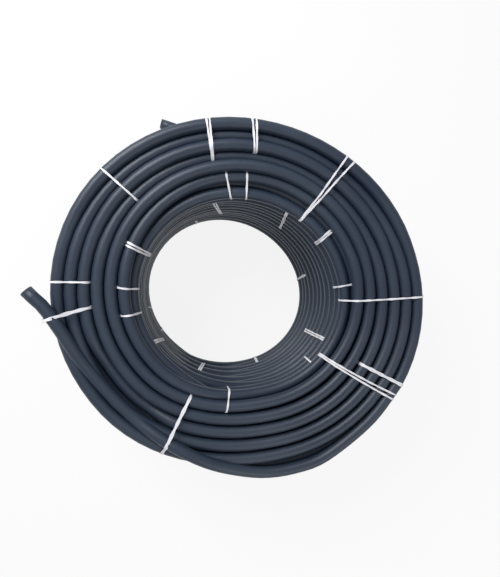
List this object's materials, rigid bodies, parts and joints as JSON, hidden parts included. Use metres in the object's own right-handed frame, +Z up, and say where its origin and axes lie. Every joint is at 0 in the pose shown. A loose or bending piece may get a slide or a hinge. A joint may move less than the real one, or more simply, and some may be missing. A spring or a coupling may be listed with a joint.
{
  "type": "soaker hose",
  "caption": "Roll of dark rubber soaker hose wound flat in a thick round coil, with two cut open ends and pale tape ties round its turns.",
  "frame": {"origin": "on the coil's axis, at the level of the floor that the bottom turns stand on", "axes": "+Z up along the coil's axis; the top run's open end points to -X and +Y, and the bottom run's open end lies on the floor on the +Y side"},
  "size_m": [0.5334, 0.542, 0.2053],
  "materials": {
    "hose": "matt, slightly porous, with a soft sheen",
    "tape": "thin pale plastic tape, satin"
  },
  "bodies": {
    "root": {"hose_coil": "hose", "hose_top_run": "hose", "hose_bottom_run": "hose", "hose_top_end": "hose", "hose_bottom_end": "hose", "rim_tie_1": "tape", "rim_tie_2": "tape", "rim_tie_3": "tape", "rim_tie_4": "tape", "rim_tie_5": "tape", "rim_tie_6": "tape", "rim_tie_7": "tape", "rim_tie_8": "tape", "rim_tie_9": "tape", "rim_tie_10": "tape", "wall_tie_1": "tape", "wall_tie_2": "tape", "wall_tie_3": "tape", "wall_tie_4": "tape", "wall_tie_5": "tape", "wall_tie_6": "tape", "wall_tie_7": "tape", "wall_tie_8": "tape", "wall_tie_9": "tape", "wall_tie_10": "tape", "wall_tie_11": "tape", "wall_tie_12": "tape", "wall_tie_13": "tape", "wall_tie_14": "tape", "wall_tie_15": "tape", "foot_tie_1": "tape", "foot_tie_2": "tape", "foot_tie_3": "tape", "foot_tie_4": "tape"}
  },
  "joints": []
}
